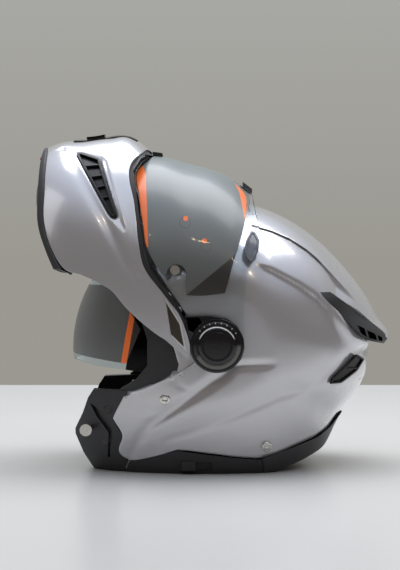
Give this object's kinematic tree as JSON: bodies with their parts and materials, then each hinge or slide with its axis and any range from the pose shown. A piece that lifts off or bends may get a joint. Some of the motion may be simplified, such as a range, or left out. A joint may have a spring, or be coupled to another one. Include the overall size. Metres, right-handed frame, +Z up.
{
  "type": "modular motorcycle helmet",
  "caption": "Modular road helmet with its chin bar and clear face visor swung up, a drop-down sun visor inside, soft pads, chin strap and rear spoiler.",
  "frame": {"origin": "on the table under the middle of the whole helmet with its chin bar raised", "axes": "+Z up, -X the way the helmet faces, +Y its right side"},
  "size_m": [0.316, 0.2512, 0.2973],
  "materials": {
    "shell_white": "gloss",
    "frame_black": "matte",
    "gloss_black": "gloss",
    "lip_rubber": "matte",
    "impact_foam": "matte",
    "lining": "matte",
    "clear_visor": "gloss",
    "visor_film": "satin",
    "smoke_visor": "gloss",
    "bright_metal": "satin",
    "dark_metal": "satin",
    "button_red": "satin",
    "webbing": "matte",
    "badge_grey": "satin"
  },
  "bodies": {
    "helmet_shell": {"outer_shell": "shell_white", "crown_spoiler": "shell_white", "impact_liner": "impact_foam", "comfort_liner": "lining", "cheek_pad_left": "lining", "cheek_pad_right": "lining", "neck_roll": "lining", "jaw_frame_left": "frame_black", "jaw_frame_right": "frame_black", "jaw_screws": "dark_metal", "latch_strikers": "bright_metal", "port_frame": "frame_black", "edge_trim": "frame_black", "rear_trim": "frame_black", "strap_rivets": "bright_metal", "pivot_base_left": "frame_black", "pivot_base_right": "frame_black", "rear_upper_vent_left": "gloss_black", "rear_upper_vent_right": "gloss_black", "rear_lower_vent_left": "frame_black", "rear_lower_vent_right": "frame_black", "sun_visor_pins": "dark_metal", "strap_left": "webbing", "strap_right": "webbing", "buckle_receiver": "frame_black", "buckle_tongue": "bright_metal"},
    "chin_bar": {"chin_cover": "shell_white", "chin_frame": "frame_black", "chin_lip": "lip_rubber", "chin_side_vent_left": "frame_black", "chin_side_vent_right": "frame_black", "arm_badge_left": "badge_grey", "arm_badge_right": "badge_grey", "chin_vent_plate": "gloss_black", "chin_padding": "lining", "arm_cover_left": "frame_black", "arm_cover_right": "frame_black", "pivot_cap_left": "frame_black", "pivot_cap_right": "frame_black"},
    "face_visor": {"visor": "clear_visor", "visor_film": "visor_film", "visor_top_tab": "clear_visor", "visor_lower_tab": "frame_black", "visor_lens_pins": "bright_metal"},
    "sun_screen": {"sun_visor": "smoke_visor", "sun_visor_film": "visor_film"},
    "sun_slider": {"sun_visor_slider": "frame_black"},
    "release": {"release_button": "button_red"},
    "left_hook": {"latch_hook_left": "dark_metal"},
    "right_hook": {"latch_hook_right": "dark_metal"},
    "vent_slide": {"chin_vent_slider": "gloss_black"},
    "buckle_flap": {"buckle_lever": "button_red"}
  },
  "joints": [
    {"name": "chin_flip", "type": "hinge", "parent": "helmet_shell", "child": "chin_bar", "pos_m": [-0.0009, 0, 0.1113], "axis": [0, -1, 0], "range_deg": [0, 64]},
    {"name": "visor_swing", "type": "hinge", "parent": "chin_bar", "child": "face_visor", "pos_m": [-0.0009, 0, 0.1113], "axis": [0, 1, 0], "range_deg": [0, 35]},
    {"name": "sun_visor_swing", "type": "hinge", "parent": "helmet_shell", "child": "sun_screen", "pos_m": [-0.0109, 0, 0.1043], "axis": [0, 1, 0], "range_deg": [0, 46]},
    {"name": "sun_slider_travel", "type": "slide", "parent": "helmet_shell", "child": "sun_slider", "axis": [1, 0, 0], "range_m": [0, 0.014]},
    {"name": "release_press", "type": "slide", "parent": "chin_bar", "child": "release", "axis": [0.7314, 0, 0.682], "range_m": [0, 0.004], "stiffness_N_per_m": 400, "springref_m": -0.001},
    {"name": "left_hook_turn", "type": "hinge", "parent": "chin_bar", "child": "left_hook", "pos_m": [-0.11542, -0.081, 0.19419], "axis": [0, 1, 0], "range_deg": [0, 12.2]},
    {"name": "right_hook_turn", "type": "hinge", "parent": "chin_bar", "child": "right_hook", "pos_m": [-0.11542, 0.081, 0.19419], "axis": [0, 1, 0], "range_deg": [0, 12.2]},
    {"name": "chin_vent_slide", "type": "slide", "parent": "chin_bar", "child": "vent_slide", "axis": [0.9848, 0, 0.1736], "range_m": [0, 0.006]},
    {"name": "buckle_lever_lift", "type": "hinge", "parent": "helmet_shell", "child": "buckle_flap", "pos_m": [0.035, -0.01, 0.0148], "axis": [1, 0, 0], "range_deg": [0, 40], "stiffness_Nm_per_rad": 0.02, "springref_deg": -5.73}
  ],
  "couplings": [
    {"joint": "sun_slider_travel", "follows": "sun_visor_swing", "m_per_rad": 0.0174},
    {"joint": "left_hook_turn", "follows": "release_press", "rad_per_m": 52.3},
    {"joint": "right_hook_turn", "follows": "release_press", "rad_per_m": 52.3}
  ]
}
